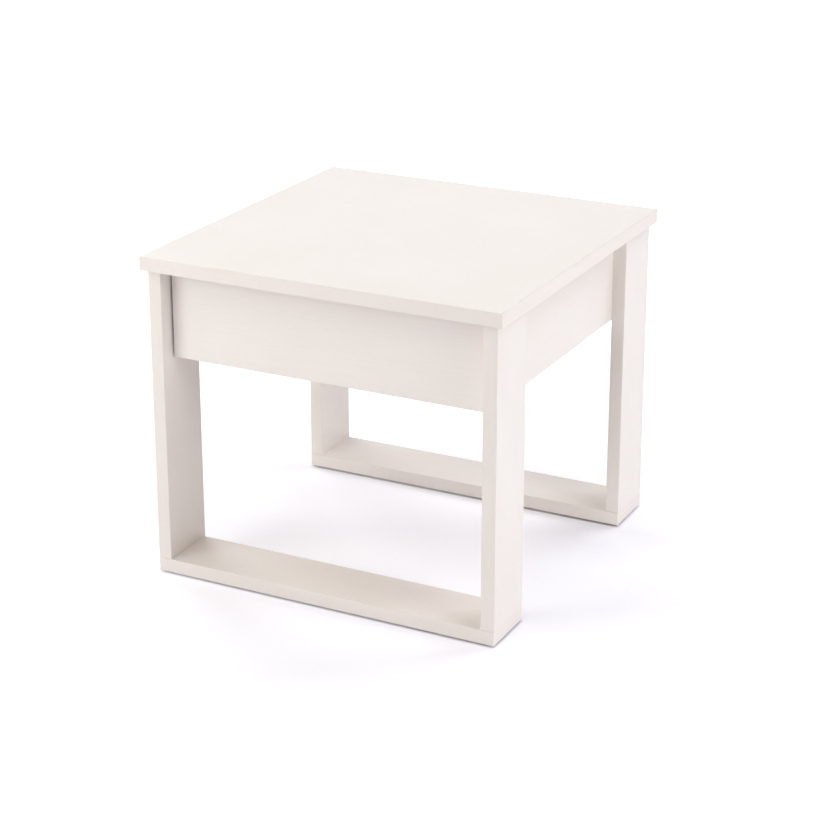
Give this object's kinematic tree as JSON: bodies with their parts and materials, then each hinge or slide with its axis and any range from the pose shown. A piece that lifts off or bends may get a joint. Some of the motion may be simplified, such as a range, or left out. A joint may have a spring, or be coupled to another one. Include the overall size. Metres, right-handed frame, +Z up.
{
  "type": "side table",
  "caption": "Square white laminate side table: board legs on flat foot rails, an overhanging top, and an apron with a handle-less drawer on roller runners.",
  "frame": {"origin": "on the floor under the middle of the top, at the lowest plane of the floor glides", "axes": "+Z up, normal to the top; the drawer opens towards -Y; +X to the right of someone facing the drawer"},
  "size_m": [0.6, 0.6, 0.52],
  "materials": {
    "white_laminate": "satin melamine-faced chipboard with a faint pore texture",
    "edge_banding": "satin ABS edge banding",
    "drawer_foil": "matt foil-wrapped chipboard",
    "hardboard": "matt white-painted hardboard",
    "runner_steel": "white epoxy-coated rolled steel",
    "roller_nylon": "moulded nylon",
    "zinc_steel": "bright zinc plating",
    "zinc_casting": "dull zinc die casting",
    "beech": "turned beech",
    "glide_plastic": "moulded polyethylene"
  },
  "bodies": {
    "table": {"table_top": "white_laminate", "top_edge_bands": "edge_banding", "leg_front_left": "white_laminate", "leg_front_right": "white_laminate", "leg_rear_left": "white_laminate", "leg_rear_right": "white_laminate", "leg_edge_bands": "edge_banding", "foot_rail_front": "white_laminate", "foot_rail_rear": "white_laminate", "rail_edge_bands": "edge_banding", "side_panel_left": "white_laminate", "side_panel_right": "white_laminate", "back_panel": "white_laminate", "apron_edge_bands": "edge_banding", "cabinet_runner_left": "runner_steel", "cabinet_runner_right": "runner_steel", "cabinet_roller_rivets": "zinc_steel", "carcass_dowels": "beech", "carcass_cam_locks": "zinc_casting", "carcass_cam_bolts": "zinc_steel", "rail_screws": "zinc_steel", "leg_screws": "zinc_steel", "cabinet_runner_screws": "zinc_steel", "floor_glides": "glide_plastic", "floor_glide_nails": "zinc_steel"},
    "drawer": {"drawer_front": "white_laminate", "drawer_front_edge_bands": "edge_banding", "drawer_side_left": "drawer_foil", "drawer_side_right": "drawer_foil", "drawer_back": "drawer_foil", "drawer_bottom": "hardboard", "drawer_runner_left": "runner_steel", "drawer_runner_right": "runner_steel", "drawer_roller_rivets": "zinc_steel", "drawer_dowels": "beech", "drawer_cam_locks": "zinc_casting", "drawer_cam_bolts": "zinc_steel", "drawer_runner_screws": "zinc_steel", "drawer_back_screws": "zinc_steel", "drawer_bottom_screws": "zinc_steel", "drawer_bumpers": "roller_nylon"},
    "cabinet_roller_left": {"cabinet_roller_left": "roller_nylon"},
    "cabinet_roller_right": {"cabinet_roller_right": "roller_nylon"},
    "drawer_roller_left": {"drawer_roller_left": "roller_nylon"},
    "drawer_roller_right": {"drawer_roller_right": "roller_nylon"}
  },
  "joints": [
    {"name": "drawer_slide", "type": "slide", "parent": "table", "child": "drawer", "axis": [0, -1, 0], "range_m": [0, 0.33]},
    {"name": "cabinet_roller_left_spin", "type": "hinge", "parent": "table", "child": "cabinet_roller_left", "pos_m": [-0.2466, -0.232, 0.3818], "axis": [1, 0, 0], "range_deg": [0, 2364]},
    {"name": "cabinet_roller_right_spin", "type": "hinge", "parent": "table", "child": "cabinet_roller_right", "pos_m": [0.2466, -0.232, 0.3818], "axis": [1, 0, 0], "range_deg": [0, 2364]},
    {"name": "drawer_roller_left_spin", "type": "hinge", "parent": "drawer", "child": "drawer_roller_left", "pos_m": [-0.245, 0.1875, 0.3828], "axis": [1, 0, 0], "range_deg": [0, 2102]},
    {"name": "drawer_roller_right_spin", "type": "hinge", "parent": "drawer", "child": "drawer_roller_right", "pos_m": [0.245, 0.1875, 0.3828], "axis": [1, 0, 0], "range_deg": [0, 2102]}
  ],
  "couplings": [
    {"joint": "cabinet_roller_left_spin", "follows": "drawer_slide", "rad_per_m": 125},
    {"joint": "cabinet_roller_right_spin", "follows": "drawer_slide", "rad_per_m": 125},
    {"joint": "drawer_roller_left_spin", "follows": "drawer_slide", "rad_per_m": 111.11},
    {"joint": "drawer_roller_right_spin", "follows": "drawer_slide", "rad_per_m": 111.11}
  ]
}
